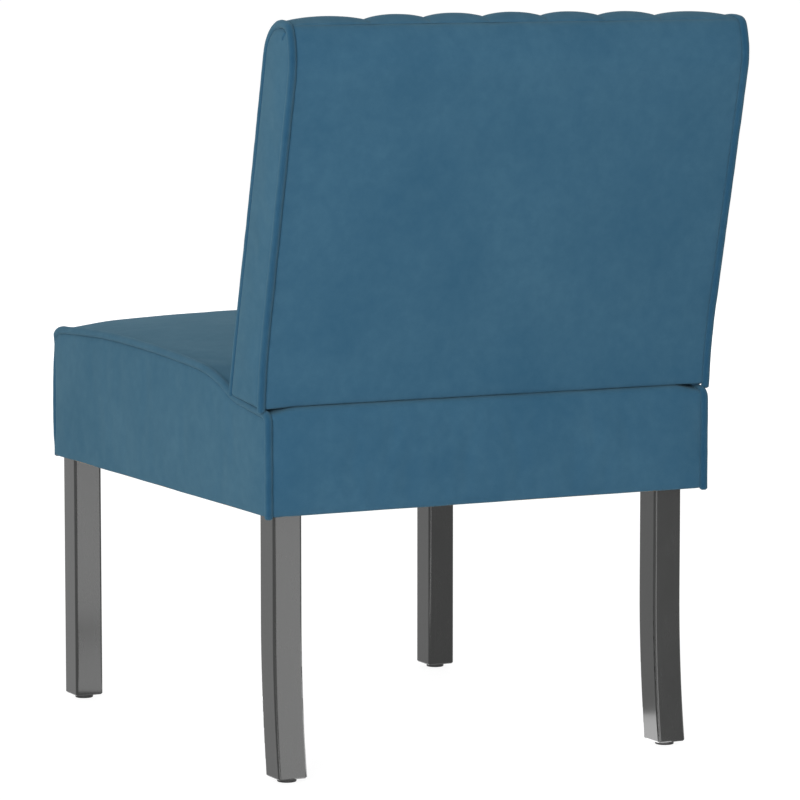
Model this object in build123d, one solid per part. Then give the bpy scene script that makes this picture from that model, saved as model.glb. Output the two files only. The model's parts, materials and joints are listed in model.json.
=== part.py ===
from build123d import *
import os
from math import cos, radians, sin, sqrt, tan

# Armless upholstered chair, sizes in millimetres.
# X runs to the sitter's left, Y to the rear and Z up; the origin lies on the floor under the middle.

# Legs and glides
leg_width = 34
leg_depth = 35
leg_height = 286
leg_tenon_height = 68
leg_edge_radius = 3
leg_foot_chamfer = 1.5
leg_flat = 8
front_leg_setback = 1
sabre_sweep = 13
sabre_height = 170
glide_diameter = 21
glide_height = 4.5
glide_edge = 0.8
nail_diameter = 2.5
nail_bite = 18
nail_cover = 1.5

# Seat box
seat_width = 536
seat_depth = 609
seat_side_height = 154.5
cover_thickness = 2
rail_thickness = 15
rear_rail_thickness = 21
rail_corner_radius = 14
rail_height = 85
front_roll = 45
front_bow = 5
front_lip = 3
front_rise = 9
top_rise = 5.8
edge_bow = 1
edge_rise = 3.2
edge_fall = 7
edge_slope = 2.5
dip_length = 190.5
dip_slope = 24
dip_radius = 262
ledge_radius = 80
ledge_slope = 7.5
strap_count = 7
strap_width = 50
strap_thickness = 2
strap_bearing_length = 12
dust_thickness = 0.8
dust_margin = 8
dust_leg_gap = 1

# Piping
welt_radius = 4.5
welt_proud = 2.3
side_corner = 10

# Back
back_overhang = 5.2
back_depth = 68
back_lean = 13.6
back_setback = 14.3
back_gap = 4.4
back_roll_start = 359
back_roll_radius = 85
back_roll_angle = 35
back_roll_end_radius = 9
back_top_radius = 43
channel_pitch = 70
channel_count = 7
channel_thickness = 10
channel_rise = 10
channel_top_rise = 5
channel_seam_rise = 3
back_foam_thickness = 13
support_board_thickness = 4
rear_board_thickness = 5
wadding_thickness = 2.5
bottom_rail_height = 45
middle_rail_height = 190
middle_rail_width = 40
middle_rail_depth = 20
top_rail_width = 55

# Joints and clearances
soft_gap = 0.3
thread_gap = 0.1
hole_gap = 0.3
block_gap = 3
block_thickness = 20
block_height = 58
block_lift = 2
hanger_diameter = 8
hanger_bite = 20
hanger_tail = 3
hanger_low = 20
hanger_pitch = 28
washer_diameter = 18
washer_thickness = 1.5
nut_flats = 13
nut_thickness = 6.5
bracket_thickness = 4
bracket_width = 18
bracket_leg_gap = 3
bracket_slot_gap = 0.5
bracket_foot_lift = 10
bracket_arm_height = 28
bracket_arm_gap = 7
bracket_back_width = 20
bracket_back_inset = 8
bracket_back_height = 125
bracket_bolt_diameter = 6
bracket_bolt_head = 11
bracket_bolt_head_height = 4
bracket_foot_bolts = (12, 42)
bracket_back_bolts = (70, 108)
tee_barrel_diameter = 8
tee_barrel_length = 10
tee_flange_diameter = 17
tee_flange_thickness = 1.5
bolt_end_gap = 2.5
screw_diameter = 4
screw_length = 50
screw_head_diameter = 8
screw_head_height = 3
screw_edge_width = 4

# Derived places
lean = radians(back_lean)
seat_bottom = glide_height + leg_height
rail_top = seat_bottom + rail_height
seat_edge_height = seat_bottom + seat_side_height
seat_half = seat_width / 2
back_half = seat_half + back_overhang
welt_inset = welt_radius - welt_proud
welt_zone = welt_inset + welt_radius + soft_gap
rail_outer_x = seat_half - cover_thickness
rail_inner_x = rail_outer_x - rail_thickness
panel_half = seat_half - welt_zone
back_panel_half = back_half - welt_zone

back_reach = (
    back_roll_start * sin(lean)
    + back_roll_radius * (1 - cos(lean))
    + welt_proud
)
front_bulge = front_bow + edge_bow
overall_depth = front_bulge + seat_depth - back_setback + back_reach
seat_front_y = -overall_depth / 2 + front_bulge
seat_rear_y = seat_front_y + seat_depth
front_rail_y = seat_front_y + cover_thickness
rear_rail_y = seat_rear_y - cover_thickness - rear_rail_thickness
leg_rebate = rail_thickness - front_leg_setback
front_leg_y = front_rail_y + rail_thickness - leg_rebate
rear_leg_y = rear_rail_y - leg_depth


def turned(angle):
    """Unit vector square to a line that falls to the rear by this angle."""
    return sin(radians(angle)), cos(radians(angle))


def shifted(point, direction, distance):
    return point[0] + direction[0] * distance, point[1] + direction[1] * distance


dip_start = (seat_rear_y - dip_length, seat_edge_height - edge_fall)
dip_centre = shifted(dip_start, turned(edge_slope), -dip_radius)
dip_end = shifted(dip_centre, turned(dip_slope), dip_radius)
ledge_centre = shifted(dip_end, turned(dip_slope), ledge_radius)
ledge_start = shifted(ledge_centre, turned(ledge_slope), -ledge_radius)


def ledge_z(y):
    """Height of the ledge's covered top."""
    return ledge_start[1] - (y - ledge_start[0]) * tan(radians(ledge_slope))


back_foot_y = seat_rear_y - back_setback
back_foot_z = ledge_z(back_foot_y) + back_gap
back_top = (
    back_roll_start
    + back_roll_radius * sin(radians(back_roll_angle))
    + back_roll_end_radius * (1 - sin(radians(back_roll_angle)))
)
back_seam = (
    back_roll_radius * (1 - cos(radians(back_roll_angle)))
    + back_roll_end_radius * cos(radians(back_roll_angle))
)
front_arc_w = back_top - back_top_radius
front_arc_n = back_depth - back_top_radius

# Depths of the layers in the back, from its rear face
stile_rear_n = cover_thickness + rear_board_thickness
foam_front_n = back_depth - channel_thickness
foam_rear_n = foam_front_n - back_foam_thickness
stile_front_n = foam_rear_n - support_board_thickness
frame_top_w = back_top - channel_thickness - back_foam_thickness
back_cover_inner_x = back_half - cover_thickness
stile_outer_x = back_cover_inner_x - wadding_thickness


def foot_w(n):
    """Lower end of the back at this depth, along its lean."""
    return -n * tan(lean - radians(ledge_slope))


def side_plane(x):
    """Sketch plane for outlines given as Y and Z."""
    return Plane.YZ.offset(x)


def back_plane(x):
    """Sketch plane for outlines given as depth from the rear face and height along the lean."""
    origin = (x, back_foot_y, back_foot_z)
    return Plane(origin=origin, x_dir=(0, -cos(lean), sin(lean)), z_dir=(-1, 0, 0))


def box(x_range, y_range, z_range):
    ranges = (x_range, y_range, z_range)
    sizes = [high - low for low, high in ranges]
    middle = [(high + low) / 2 for low, high in ranges]
    return Pos(*middle) * Box(*sizes)


def polygon(points):
    return Face(Wire(Polyline(*points, close=True).edges()))


def across(plane_at, face, x_range):
    """Solid of a side outline between two X places."""
    return extrude(plane_at(x_range[0]) * face, amount=x_range[1] - x_range[0], dir=(1, 0, 0))


def rod(start, direction, radius, length):
    shape = Cylinder(radius, length, align=(Align.CENTER, Align.CENTER, Align.MIN))
    return Plane(origin=start, z_dir=direction) * shape


def other_side(shape):
    return mirror(shape, about=Plane.YZ)


def both_sides(shapes):
    return list(shapes) + [other_side(shape) for shape in shapes]


def minus(shape, tools):
    for tool in tools:
        shape = shape - tool
    return shape


def group(shapes):
    return Compound(children=list(shapes))


parts = {}


def add_pair(name, shape):
    """The left piece as given and its mirrored right one."""
    parts[name + "_left"] = shape
    parts[name + "_right"] = other_side(shape)


# Outline of the seat, from the front's lower edge over the top to the rear end of the ledge
def seat_outline(inset, crown, end_y):
    front_y = seat_front_y + inset
    bow_y = front_y - edge_bow - front_bow * crown
    lip_y = front_y - front_lip * crown
    roll = front_roll - inset
    roll_z = seat_edge_height + front_rise * crown - front_roll
    roll_centre = (lip_y + roll, roll_z)
    roll_middle = (roll_centre[0] - roll / sqrt(2), roll_z + roll / sqrt(2))
    roll_end = (roll_centre[0], roll_z + roll)
    start = shifted(dip_start, turned(edge_slope), -inset)
    top_middle = (
        (roll_end[0] + start[0]) / 2,
        (roll_end[1] + start[1]) / 2 + edge_rise + top_rise * crown,
    )
    half_dip = turned((edge_slope + dip_slope) / 2)
    half_ledge = turned((dip_slope + ledge_slope) / 2)
    dip_middle = shifted(dip_centre, half_dip, dip_radius - inset)
    dip_last = shifted(dip_centre, turned(dip_slope), dip_radius - inset)
    ledge_middle = shifted(ledge_centre, half_ledge, -ledge_radius - inset)
    ledge_first = shifted(ledge_centre, turned(ledge_slope), -ledge_radius - inset)
    fall = (end_y - ledge_first[0]) * tan(radians(ledge_slope))
    return {
        "foot": (front_y, seat_bottom),
        "bow": (bow_y, (seat_bottom + roll_z) / 2),
        "roll_start": (lip_y, roll_z),
        "roll_middle": roll_middle,
        "roll_end": roll_end,
        "top_middle": top_middle,
        "dip_start": start,
        "dip_middle": dip_middle,
        "dip_end": dip_last,
        "ledge_middle": ledge_middle,
        "ledge_start": ledge_first,
        "end": (end_y, ledge_first[1] - fall),
    }


def seat_edges(p):
    return [
        ThreePointArc(p["foot"], p["bow"], p["roll_start"]),
        ThreePointArc(p["roll_start"], p["roll_middle"], p["roll_end"]),
        ThreePointArc(p["roll_end"], p["top_middle"], p["dip_start"]),
        ThreePointArc(p["dip_start"], p["dip_middle"], p["dip_end"]),
        ThreePointArc(p["dip_end"], p["ledge_middle"], p["ledge_start"]),
        Line(p["ledge_start"], p["end"]),
    ]


def seat_crown(x):
    return 1 - (x / panel_half) ** 2


crown_places = [panel_half * step / 4 for step in range(-4, 5)]

# Legs
leg_outer_x = rail_inner_x
leg_inner_x = leg_outer_x - leg_width
leg_middle_x = (leg_outer_x + leg_inner_x) / 2
leg_top = seat_bottom + leg_tenon_height


def hanger_places(front):
    """Start points and direction of the bolts in a left leg's inner edge."""
    edge_y = front_leg_y + leg_depth if front else rear_leg_y
    toward = 1 if front else -1
    back_step = hanger_bite / sqrt(2)
    direction = (-1, toward, 0)
    places = []
    for level in range(2):
        z = seat_bottom + hanger_low + hanger_pitch * level
        places.append((leg_inner_x + back_step, edge_y - toward * back_step, z))
    return places, direction


def leg_cuts(front):
    """Flat on the inner edge and bolt holes in the part of a left leg inside the seat."""
    edge_y = front_leg_y + leg_depth if front else rear_leg_y
    toward = 1 if front else -1
    flat = polygon(
        [
            (leg_inner_x, edge_y),
            (leg_inner_x + leg_flat, edge_y),
            (leg_inner_x, edge_y - toward * leg_flat),
        ]
    )
    cuts = [extrude(Pos(0, 0, seat_bottom) * flat, amount=leg_tenon_height, dir=(0, 0, 1))]
    places, direction = hanger_places(front)
    for place in places:
        cuts.append(rod(place, direction, hanger_diameter / 2 + thread_gap, hanger_bite))
    return cuts


def nail_hole(y):
    return rod((leg_middle_x, y, glide_height), (0, 0, 1), nail_diameter / 2, nail_bite)


front_leg_middle_y = front_leg_y + leg_depth / 2
rear_foot_middle_y = rear_leg_y + leg_depth / 2 + sabre_sweep
leg_total = leg_height + leg_tenon_height

front_section = Pos(leg_middle_x, front_leg_middle_y, glide_height) * RectangleRounded(
    leg_width, leg_depth, leg_edge_radius
)
front_leg = extrude(front_section, amount=leg_total, dir=(0, 0, 1))
front_leg = chamfer(front_leg.faces().sort_by(Axis.Z)[0].edges(), leg_foot_chamfer)
rebate = box(
    (leg_inner_x, leg_outer_x),
    (front_leg_y, front_leg_y + leg_rebate),
    (seat_bottom, leg_top),
)
front_leg = minus(front_leg, [rebate, nail_hole(front_leg_middle_y)] + leg_cuts(True))

sabre_radius = (sabre_height**2 + sabre_sweep**2) / (2 * sabre_sweep)
sabre_top = glide_height + sabre_height
sabre_half = sabre_height / 2
sabre_half_sweep = sabre_radius - sqrt(sabre_radius**2 - sabre_half**2)


def sabre_face(y):
    """Straight and swept lengths of a rear leg's front or rear face."""
    foot = (y + sabre_sweep, glide_height)
    middle = (y + sabre_half_sweep, sabre_top - sabre_half)
    return Line((y, leg_top), (y, sabre_top)), ThreePointArc((y, sabre_top), middle, foot)


front_line, front_sweep = sabre_face(rear_leg_y)
rear_line, rear_sweep = sabre_face(rear_leg_y + leg_depth)
sole = Line(front_sweep @ 1, rear_sweep @ 1)
cap = Line(front_line @ 0, rear_line @ 0)
rear_outline = Face(Wire([front_line, front_sweep, sole, rear_sweep, rear_line, cap]))
rear_leg = across(side_plane, rear_outline, (leg_inner_x, leg_outer_x))
long_edges = [edge for edge in rear_leg.edges() if edge.length > leg_width + leg_depth]
rear_leg = fillet(long_edges, leg_edge_radius)
rear_leg = chamfer(rear_leg.faces().sort_by(Axis.Z)[0].edges(), leg_foot_chamfer)
rear_leg = minus(rear_leg, [nail_hole(rear_foot_middle_y)] + leg_cuts(False))

add_pair("leg_front", front_leg)
add_pair("leg_rear", rear_leg)

# Glides with their nails
nail_length = glide_height - nail_cover + nail_bite


def nail(y):
    return rod((leg_middle_x, y, nail_cover), (0, 0, 1), nail_diameter / 2, nail_length)


def glide(y):
    disc = rod((leg_middle_x, y, 0), (0, 0, 1), glide_diameter / 2, glide_height)
    disc = fillet(disc.faces().sort_by(Axis.Z)[0].edges(), glide_edge)
    return disc - nail(y)


add_pair("glide_front", glide(front_leg_middle_y))
add_pair("glide_rear", glide(rear_foot_middle_y))
parts["glide_nails"] = group(both_sides([nail(front_leg_middle_y), nail(rear_foot_middle_y)]))

# Corner blocks, and the hanger bolts that draw the legs into the corners
block_bottom = seat_bottom + block_lift


def corner_block(front):
    edge_y = front_rail_y + rail_thickness if front else rear_rail_y
    toward = 1 if front else -1
    leg_reach = leg_width + leg_depth - (leg_rebate if front else 0)
    near = leg_reach + block_gap * sqrt(2)
    far = near + block_thickness * sqrt(2)
    face = polygon(
        [
            (rail_inner_x, edge_y + toward * near),
            (rail_inner_x, edge_y + toward * far),
            (rail_inner_x - far, edge_y),
            (rail_inner_x - near, edge_y),
        ]
    )
    block = extrude(Pos(0, 0, block_bottom) * face, amount=block_height, dir=(0, 0, 1))
    places, direction = hanger_places(front)
    reach = hanger_bite + block_gap + block_thickness
    holes = [rod(p, direction, hanger_diameter / 2 + hole_gap, 2 * reach) for p in places]
    return minus(block, holes)


def along(place, direction, distance):
    return tuple(p + d * distance / sqrt(2) for p, d in zip(place, direction))


hangers = []
washers = []
nuts = []
hanger_radius = hanger_diameter / 2
washer_at = hanger_bite + block_gap + block_thickness
nut_at = washer_at + washer_thickness
hanger_length = nut_at + nut_thickness + hanger_tail
for is_front in (True, False):
    spots, inward = hanger_places(is_front)
    for spot in spots:
        hangers.append(rod(spot, inward, hanger_radius, hanger_length))
        washer_spot = along(spot, inward, washer_at)
        washer = rod(washer_spot, inward, washer_diameter / 2, washer_thickness)
        washers.append(washer - rod(washer_spot, inward, hanger_radius + hole_gap, washer_thickness))
        nut_spot = along(spot, inward, nut_at)
        hexagon = Plane(origin=nut_spot, z_dir=inward) * RegularPolygon(
            nut_flats / 2, 6, major_radius=False
        )
        nut = extrude(hexagon, amount=nut_thickness)
        nuts.append(nut - rod(nut_spot, inward, hanger_radius + thread_gap, nut_thickness))

add_pair("corner_block_front", corner_block(True))
add_pair("corner_block_rear", corner_block(False))
parts["hanger_bolts"] = group(both_sides(hangers))
parts["hanger_washers"] = group(both_sides(washers))
parts["hanger_nuts"] = group(both_sides(nuts))

# Steel brackets that tie the back's stiles to the seat's side rails
bracket_range = (rail_inner_x - bracket_thickness, rail_inner_x)
bracket_rear_y = rear_leg_y - bracket_leg_gap
bracket_front_y = bracket_rear_y - bracket_width
bracket_foot_z = seat_bottom + bracket_foot_lift
arm_low = leg_top + bracket_arm_gap
arm_high = arm_low + bracket_arm_height
back_plate_n = (stile_rear_n + bracket_back_inset, stile_rear_n + bracket_back_inset + bracket_back_width)


def back_yz(n, w):
    y = back_foot_y + w * sin(lean) - n * cos(lean)
    z = back_foot_z + w * cos(lean) + n * sin(lean)
    return y, z


def back_point(x, n, w):
    return (x,) + back_yz(n, w)


def arm_meet(n):
    """Where the leaning strip's edge at this depth crosses the middle of the arm."""
    return ((arm_low + arm_high) / 2 - back_foot_z - n * sin(lean)) / cos(lean)


foot_strip = box(bracket_range, (bracket_front_y, bracket_rear_y), (bracket_foot_z, arm_high))
arm_rear_y = back_yz(back_plate_n[0], arm_meet(back_plate_n[0]))[0]
arm_strip = box(bracket_range, (bracket_front_y, arm_rear_y), (arm_low, arm_high))
back_strip = across(
    back_plane,
    polygon(
        [
            (back_plate_n[0], arm_meet(back_plate_n[0])),
            (back_plate_n[1], arm_meet(back_plate_n[1])),
            (back_plate_n[1], bracket_back_height),
            (back_plate_n[0], bracket_back_height),
        ]
    ),
    bracket_range,
)
bracket = foot_strip + arm_strip + back_strip
bolt_radius = bracket_bolt_diameter / 2
tee_barrel_radius = tee_barrel_diameter / 2
tee_flange_radius = tee_flange_diameter / 2
foot_bolt_y = (bracket_front_y + bracket_rear_y) / 2
back_bolt_n = sum(back_plate_n) / 2
inner_face_x = bracket_range[0]
foot_spots = [(inner_face_x, foot_bolt_y, bracket_foot_z + z) for z in bracket_foot_bolts]
back_spots = [back_point(inner_face_x, back_bolt_n, w) for w in bracket_back_bolts]


def bracket_bolt(spot, outer_x):
    start = (spot[0] - bracket_bolt_head_height, spot[1], spot[2])
    head = rod(start, (1, 0, 0), bracket_bolt_head / 2, bracket_bolt_head_height)
    return head + rod(spot, (1, 0, 0), bolt_radius, outer_x - bolt_end_gap - spot[0])


def tee_nut(spot, outer_x, gap, bored):
    """Tee nut driven in from the outer face, or the hole that takes it."""
    flange_at = (outer_x - tee_flange_thickness, spot[1], spot[2])
    barrel_at = (outer_x - tee_barrel_length, spot[1], spot[2])
    shape = rod(flange_at, (1, 0, 0), tee_flange_radius + gap, tee_flange_thickness)
    shape = shape + rod(barrel_at, (1, 0, 0), tee_barrel_radius + gap, tee_barrel_length)
    if bored:
        shape = shape - rod(barrel_at, (1, 0, 0), bolt_radius + thread_gap, tee_barrel_length)
    return shape


def bolt_hole(spot, outer_x):
    return rod(spot, (1, 0, 0), bolt_radius + hole_gap, outer_x - spot[0])


all_spots = [(s, rail_outer_x) for s in foot_spots] + [(s, stile_outer_x) for s in back_spots]
bracket = minus(bracket, [bolt_hole(s, x) for s, x in all_spots])
add_pair("back_bracket", bracket)
parts["bracket_bolts"] = group(both_sides([bracket_bolt(s, x) for s, x in all_spots]))
parts["bracket_tee_nuts"] = group(both_sides([tee_nut(s, x, 0, True) for s, x in all_spots]))


def bolt_cuts(spots, outer_x):
    cuts = [bolt_hole(s, outer_x) for s in spots]
    return cuts + [tee_nut(s, outer_x, thread_gap, False) for s in spots]


# Seat frame
rail_heights = (seat_bottom, rail_top)
parts["seat_rail_front"] = box(
    (-rail_inner_x, rail_inner_x), (front_rail_y, front_rail_y + rail_thickness), rail_heights
)
parts["seat_rail_rear"] = box(
    (-rail_inner_x, rail_inner_x), (rear_rail_y, rear_rail_y + rear_rail_thickness), rail_heights
)
side_rail = box(
    (rail_inner_x, rail_outer_x),
    (seat_front_y + welt_zone, seat_rear_y - welt_zone),
    rail_heights,
)
outer_edges = side_rail.edges().filter_by(Axis.Z).sort_by(Axis.X)[-2:]
side_rail = fillet(outer_edges.sort_by(Axis.Y)[0], rail_corner_radius)
add_pair("seat_rail", minus(side_rail, bolt_cuts(foot_spots, rail_outer_x)))

ledge_half = bracket_range[0] - bracket_bolt_head_height - bracket_slot_gap
ledge_drop = cover_thickness / cos(radians(ledge_slope))
ledge_front_y = ledge_start[0]
ledge_rear_y = seat_rear_y - cover_thickness
ledge_face = polygon(
    [
        (ledge_front_y, rail_top),
        (ledge_rear_y, rail_top),
        (ledge_rear_y, ledge_z(ledge_rear_y) - ledge_drop),
        (ledge_front_y, ledge_z(ledge_front_y) - ledge_drop),
    ]
)
parts["ledge_rail"] = across(side_plane, ledge_face, (-ledge_half, ledge_half))

strap_first_y = front_rail_y + rail_thickness + strap_width / 2
strap_last_y = dip_end[0] - strap_width / 2
strap_pitch = (strap_last_y - strap_first_y) / (strap_count - 1)
strap_half = rail_inner_x + strap_bearing_length
straps = []
for index in range(strap_count):
    middle_y = strap_first_y + strap_pitch * index
    straps.append(
        box(
            (-strap_half, strap_half),
            (middle_y - strap_width / 2, middle_y + strap_width / 2),
            (rail_top, rail_top + strap_thickness),
        )
    )
parts["seat_webbing"] = group(straps)

# Seat foam, crowned across and from front to rear
foam_bottom = rail_top + strap_thickness


def foam_section(x):
    p = seat_outline(cover_thickness + soft_gap, seat_crown(x), dip_end[0])
    front_foot = (p["roll_start"][0], foam_bottom)
    rear_foot = (p["dip_end"][0], foam_bottom)
    edges = [Line(front_foot, p["roll_start"])]
    edges += seat_edges(p)[1:4]
    edges += [Line(p["dip_end"], rear_foot), Line(rear_foot, front_foot)]
    return side_plane(x) * Face(Wire(edges))


parts["seat_foam"] = loft([foam_section(x) for x in crown_places])

# Seat cover: the panel over front, top and ledge
strip_end_y = seat_rear_y - cover_thickness - soft_gap


def cover_section(x):
    outer = seat_outline(0, seat_crown(x), strip_end_y)
    inner = seat_outline(cover_thickness, seat_crown(x), strip_end_y)
    edges = seat_edges(outer) + [Line(outer["end"], inner["end"])]
    edges += seat_edges(inner) + [Line(inner["foot"], outer["foot"])]
    return side_plane(x) * Face(Wire(edges))


cover_top = loft([cover_section(x) for x in crown_places])
slot = box(
    (bracket_range[0] - bracket_bolt_head_height - bracket_slot_gap, rail_inner_x + bracket_slot_gap),
    (bracket_front_y - bracket_slot_gap, strip_end_y - bracket_width),
    (rail_top, seat_edge_height),
)
parts["seat_cover_top"] = minus(cover_top, both_sides([slot]))

# Seat cover: side and rear panels
ledge_angle = radians(ledge_slope)


def side_outline_edges(inset):
    """Edges from the front's foot over the top, round the rear corner and down to the rear foot."""
    rear_y = seat_rear_y - inset
    p = seat_outline(inset, 0, rear_y)
    radius = side_corner - inset
    length = radius * tan((radians(90) - ledge_angle) / 2)
    corner_from = (
        rear_y - length * cos(ledge_angle),
        p["end"][1] + length * sin(ledge_angle),
    )
    corner_to = (rear_y, p["end"][1] - length)
    return seat_edges(p)[:-1] + [
        Line(p["ledge_start"], corner_from),
        TangentArc(corner_from, corner_to, tangent=(cos(ledge_angle), -sin(ledge_angle))),
        Line(corner_to, (rear_y, seat_bottom)),
    ]


side_edges = side_outline_edges(welt_zone)
side_foot = Line(side_edges[-1] @ 1, side_edges[0] @ 0)
side_panel = Face(Wire(side_edges + [side_foot]))
add_pair("seat_cover", across(side_plane, side_panel, (rail_outer_x, seat_half)))
parts["seat_cover_rear"] = box(
    (-panel_half, panel_half),
    (seat_rear_y - cover_thickness, seat_rear_y),
    (seat_bottom, ledge_z(seat_rear_y)),
)


# Piping
def piping(edges, plane):
    path = plane * Wire(edges)
    ring_face = Plane(origin=path @ 0, z_dir=path % 0) * Circle(welt_radius)
    return sweep(ring_face, path=path)


add_pair("seat_welt", piping(side_outline_edges(welt_inset), side_plane(seat_half - welt_inset)))

# Dust cover under the seat, notched round the legs
dust_half = seat_half - dust_margin
dust_sheet = box(
    (-dust_half, dust_half),
    (seat_front_y + dust_margin, seat_rear_y - dust_margin),
    (seat_bottom - dust_thickness, seat_bottom),
)
notch_x = (leg_inner_x - dust_leg_gap, leg_outer_x + dust_leg_gap)
notches = []
for leg_y in (front_leg_y, rear_leg_y):
    notch_y = (leg_y - dust_leg_gap, leg_y + leg_depth + dust_leg_gap)
    notches.append(box(notch_x, notch_y, (seat_bottom - dust_thickness, seat_bottom)))
parts["dust_cover"] = minus(dust_sheet, both_sides(notches))

# Back frame
rear_roll_w = back_roll_start
rear_roll_n = back_roll_radius - sqrt(
    (back_roll_radius - welt_zone) ** 2 - (frame_top_w - back_roll_start) ** 2
)
frame_corner = back_top_radius - channel_thickness - back_foam_thickness


def frame_outline(low_rear, low_front):
    """Closed outline of a frame piece that reaches the top, from these lower ends."""
    bend_w = frame_top_w - frame_corner
    bend_n = stile_front_n - frame_corner
    bend_middle = (bend_n + frame_corner / sqrt(2), bend_w + frame_corner / sqrt(2))
    return Face(
        Wire(
            [
                Line((stile_rear_n, low_rear), (stile_rear_n, rear_roll_w)),
                Line((stile_rear_n, rear_roll_w), (rear_roll_n, frame_top_w)),
                Line((rear_roll_n, frame_top_w), (bend_n, frame_top_w)),
                ThreePointArc((bend_n, frame_top_w), bend_middle, (stile_front_n, bend_w)),
                Line((stile_front_n, bend_w), (stile_front_n, low_front)),
                Line((stile_front_n, low_front), (stile_rear_n, low_rear)),
            ]
        )
    )


rail_range = (-rail_inner_x, rail_inner_x)
top_rail_low = frame_top_w - top_rail_width
stile = across(
    back_plane,
    frame_outline(foot_w(stile_rear_n), foot_w(stile_front_n)),
    (rail_inner_x, stile_outer_x),
)
top_rail = across(back_plane, frame_outline(top_rail_low, top_rail_low), rail_range)
middle_rail = across(
    back_plane,
    polygon(
        [
            (stile_rear_n, middle_rail_height),
            (stile_rear_n + middle_rail_depth, middle_rail_height),
            (stile_rear_n + middle_rail_depth, middle_rail_height + middle_rail_width),
            (stile_rear_n, middle_rail_height + middle_rail_width),
        ]
    ),
    rail_range,
)
bottom_rail = across(
    back_plane,
    polygon(
        [
            (stile_rear_n, foot_w(stile_rear_n)),
            (stile_front_n, foot_w(stile_front_n)),
            (stile_front_n, bottom_rail_height),
            (stile_rear_n, bottom_rail_height),
        ]
    ),
    rail_range,
)
bracket_notch = across(
    back_plane,
    polygon(
        [
            (back_plate_n[0] - bracket_slot_gap, foot_w(stile_front_n) - bracket_slot_gap),
            (back_plate_n[1] + bracket_slot_gap, foot_w(stile_front_n) - bracket_slot_gap),
            (back_plate_n[1] + bracket_slot_gap, bottom_rail_height),
            (back_plate_n[0] - bracket_slot_gap, bottom_rail_height),
        ]
    ),
    (bracket_range[0] - bracket_slot_gap, rail_inner_x),
)
bottom_rail = minus(bottom_rail, both_sides([bracket_notch]))

# Screws through the stiles into the rails
low_w = bottom_rail_height / 2
middle_n = stile_rear_n + middle_rail_depth / 2
top_n = (stile_rear_n + stile_front_n) / 2
screw_spots = [
    (stile_rear_n + screw_edge_width, low_w),
    (stile_front_n - screw_edge_width, low_w),
    (middle_n, middle_rail_height + middle_rail_width / 4),
    (middle_n, middle_rail_height + middle_rail_width * 3 / 4),
    (top_n, top_rail_low + top_rail_width / 4),
    (top_n, top_rail_low + top_rail_width * 3 / 4),
]


def screw(n, w, gap):
    tip = back_point(stile_outer_x - screw_length, n, w)
    shank = rod(tip, (1, 0, 0), screw_diameter / 2 + gap, screw_length)
    head_at = back_point(stile_outer_x - screw_head_height, n, w)
    head = Cone(
        screw_diameter / 2 + gap,
        screw_head_diameter / 2 + gap,
        screw_head_height,
        align=(Align.CENTER, Align.CENTER, Align.MIN),
    )
    return shank + Plane(origin=head_at, z_dir=(1, 0, 0)) * head


screw_holes = [screw(n, w, thread_gap) for n, w in screw_spots]
parts["back_screws"] = group(both_sides([screw(n, w, 0) for n, w in screw_spots]))
add_pair("back_stile", minus(stile, bolt_cuts(back_spots, stile_outer_x) + screw_holes))
parts["back_rail_bottom"] = minus(bottom_rail, both_sides(screw_holes[0:2]))
parts["back_rail_middle"] = minus(middle_rail, both_sides(screw_holes[2:4]))
parts["back_rail_top"] = minus(top_rail, both_sides(screw_holes[4:6]))

# Boards on the back frame
support_face = polygon(
    [
        (stile_front_n, foot_w(stile_front_n)),
        (foam_rear_n, foot_w(foam_rear_n)),
        (foam_rear_n, frame_top_w - frame_corner),
        (stile_front_n, frame_top_w - frame_corner),
    ]
)
parts["back_support_board"] = across(back_plane, support_face, (-stile_outer_x, stile_outer_x))
rear_board_face = polygon(
    [
        (cover_thickness, foot_w(cover_thickness)),
        (stile_rear_n, foot_w(stile_rear_n)),
        (stile_rear_n, back_roll_start),
        (cover_thickness, back_roll_start),
    ]
)
parts["back_rear_board"] = across(back_plane, rear_board_face, (-back_panel_half, back_panel_half))


# Back foam, over the front and the top of the frame
def bend(inset):
    """Front line, top bend and top line of the back at this depth under its front."""
    radius = back_top_radius - inset
    front_n = back_depth - inset
    top_w = back_top - inset
    middle = (front_arc_n + radius / sqrt(2), front_arc_w + radius / sqrt(2))
    return [
        Line((front_n, foot_w(front_n)), (front_n, front_arc_w)),
        ThreePointArc((front_n, front_arc_w), middle, (front_arc_n, top_w)),
        Line((front_arc_n, top_w), (back_seam, top_w)),
    ]


foam_outer = bend(channel_thickness + soft_gap)
foam_inner = bend(channel_thickness + back_foam_thickness)
foam_face = Face(
    Wire(
        foam_outer
        + foam_inner
        + [
            Line(foam_outer[0] @ 0, foam_inner[0] @ 0),
            Line(foam_outer[2] @ 1, foam_inner[2] @ 1),
        ]
    )
)
parts["back_foam"] = across(back_plane, foam_face, (-back_panel_half, back_panel_half))

# Channelled panel over the front and the top of the back
inner_channels = channel_count - 2
seams = [channel_pitch * (index - inner_channels / 2) for index in range(inner_channels + 1)]
channel_edges = [-back_panel_half] + seams + [back_panel_half]


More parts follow.
